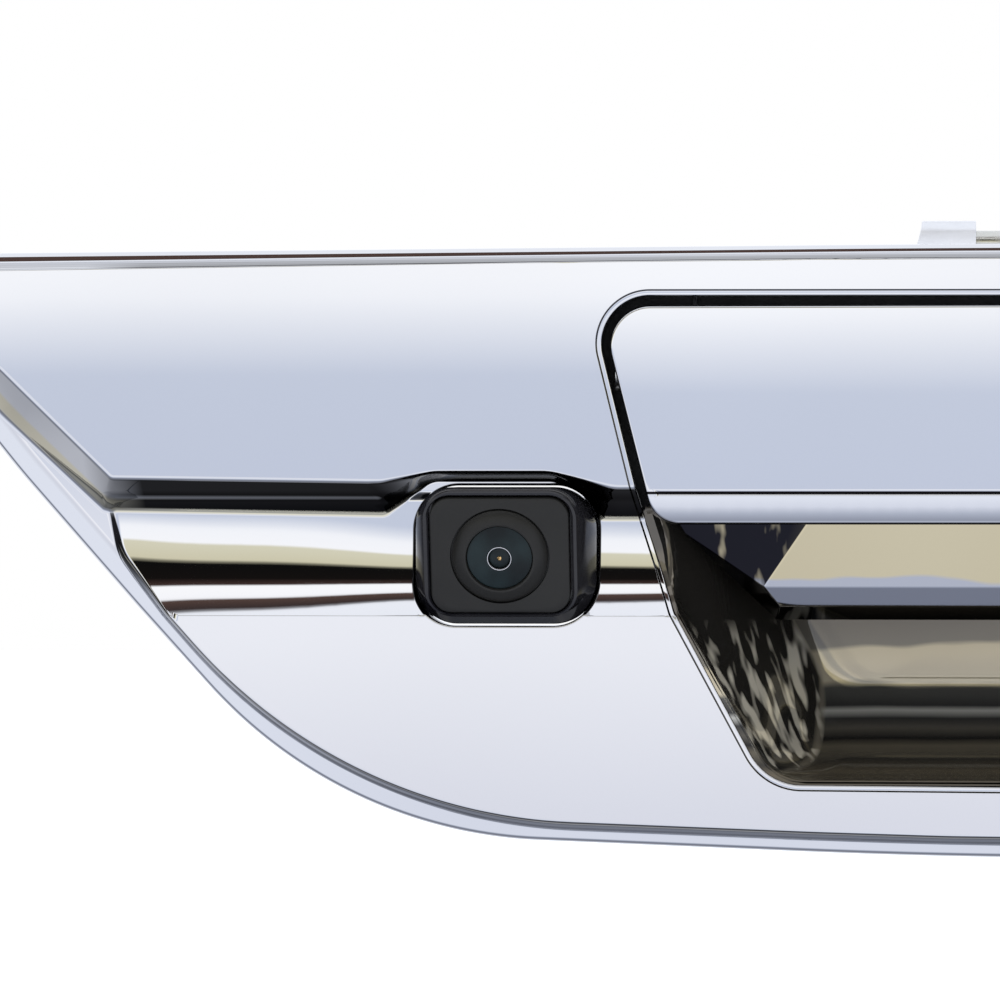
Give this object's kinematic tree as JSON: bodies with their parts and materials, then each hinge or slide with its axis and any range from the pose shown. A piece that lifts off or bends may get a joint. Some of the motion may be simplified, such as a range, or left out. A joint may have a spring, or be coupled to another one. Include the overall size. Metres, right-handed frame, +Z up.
{
  "type": "tailgate handle with backup camera",
  "caption": "Wing-shaped chrome tailgate handle trim with a sprung pull paddle over a finger pocket and a small reversing camera looking out, tilted down, from a channel.",
  "frame": {"origin": "middle of the lower seating land of the rim seal, in the plane of the tailgate's outer skin", "axes": "+X to the right seen from behind the truck, +Y into the tailgate, +Z up; the trim stands out towards -Y"},
  "size_m": [0.4856, 0.0665, 0.1298],
  "materials": {
    "chrome_plated_abs": "bright chrome plating on moulded plastic",
    "black_nylon": "glass-filled nylon, fine grain",
    "white_acetal": "natural acetal, smooth",
    "rubber": "closed-cell seal, matt",
    "plated_steel": "bright zinc plate",
    "spring_steel": "drawn spring wire",
    "zinc_die_cast": "zinc die casting, light satin",
    "gloss_black": "polished black",
    "satin_black": "fine satin grain",
    "bright_ring": "polished ring",
    "lens_glass": "coated optical glass",
    "circuit_board": "green solder resist",
    "sensor_chip": "silicon under glass"
  },
  "bodies": {
    "housing": {"garnish": "chrome_plated_abs", "pocket_bowl": "chrome_plated_abs", "base_frame": "black_nylon", "camera_socket": "black_nylon", "wing_clip_left_upper": "white_acetal", "wing_clip_left_lower": "white_acetal", "wing_clip_right_upper": "white_acetal", "wing_clip_right_lower": "white_acetal", "rim_gasket": "rubber", "frame_screw_left_upper": "plated_steel", "frame_screw_left_lower": "plated_steel", "frame_screw_right_upper": "plated_steel", "frame_screw_right_lower": "plated_steel", "mount_stud_left_upper": "plated_steel", "mount_stud_left_lower": "plated_steel", "mount_stud_right_upper": "plated_steel", "mount_stud_right_lower": "plated_steel", "flange_nut_left_upper": "plated_steel", "flange_nut_left_lower": "plated_steel", "flange_nut_right_upper": "plated_steel", "flange_nut_right_lower": "plated_steel", "shaft_clip_left": "plated_steel", "shaft_clip_right": "plated_steel", "bracket_screw_left": "plated_steel", "bracket_screw_right": "plated_steel", "hinge_pin_left": "plated_steel", "hinge_pin_right": "plated_steel", "cross_shaft": "plated_steel", "camera_strap": "plated_steel", "camera_screw_1": "plated_steel", "camera_screw_2": "plated_steel", "strap_screw_left": "plated_steel", "strap_screw_right": "plated_steel", "paddle_spring_left": "spring_steel", "paddle_spring_right": "spring_steel", "lever_spring": "spring_steel", "shaft_bracket": "zinc_die_cast", "camera_shroud": "gloss_black", "camera_face": "satin_black", "lens_barrel": "satin_black", "lens_baffle": "satin_black", "camera_case": "satin_black", "lens_trim_ring": "bright_ring", "front_lens": "lens_glass", "inner_lens": "lens_glass", "sensor_board": "circuit_board", "image_sensor": "sensor_chip"},
    "paddle": {"paddle_flap": "chrome_plated_abs", "paddle_grip": "chrome_plated_abs", "paddle_carrier": "black_nylon", "cam_roller": "white_acetal", "roller_pin": "plated_steel", "hinge_bush_left": "white_acetal", "hinge_bush_right": "white_acetal", "paddle_screw_left": "plated_steel", "paddle_screw_right": "plated_steel"},
    "lever": {"release_lever": "zinc_die_cast", "cable_clip_left": "white_acetal", "cable_clip_right": "white_acetal"}
  },
  "joints": [
    {"name": "paddle_hinge", "type": "hinge", "parent": "housing", "child": "paddle", "pos_m": [0, -0.0075, 0.096], "axis": [-1, 0, 0], "range_deg": [0, 28], "stiffness_Nm_per_rad": 0.6, "springref_deg": -20.05},
    {"name": "lever_turn", "type": "hinge", "parent": "housing", "child": "lever", "pos_m": [0, 0.018, 0.122], "axis": [1, 0, 0], "range_deg": [0, 28], "stiffness_Nm_per_rad": 0.1, "springref_deg": -20.05, "deforming": ["lever_spring"]}
  ],
  "couplings": [
    {"joint": "lever_turn", "follows": "paddle_hinge", "ratio": 1}
  ]
}
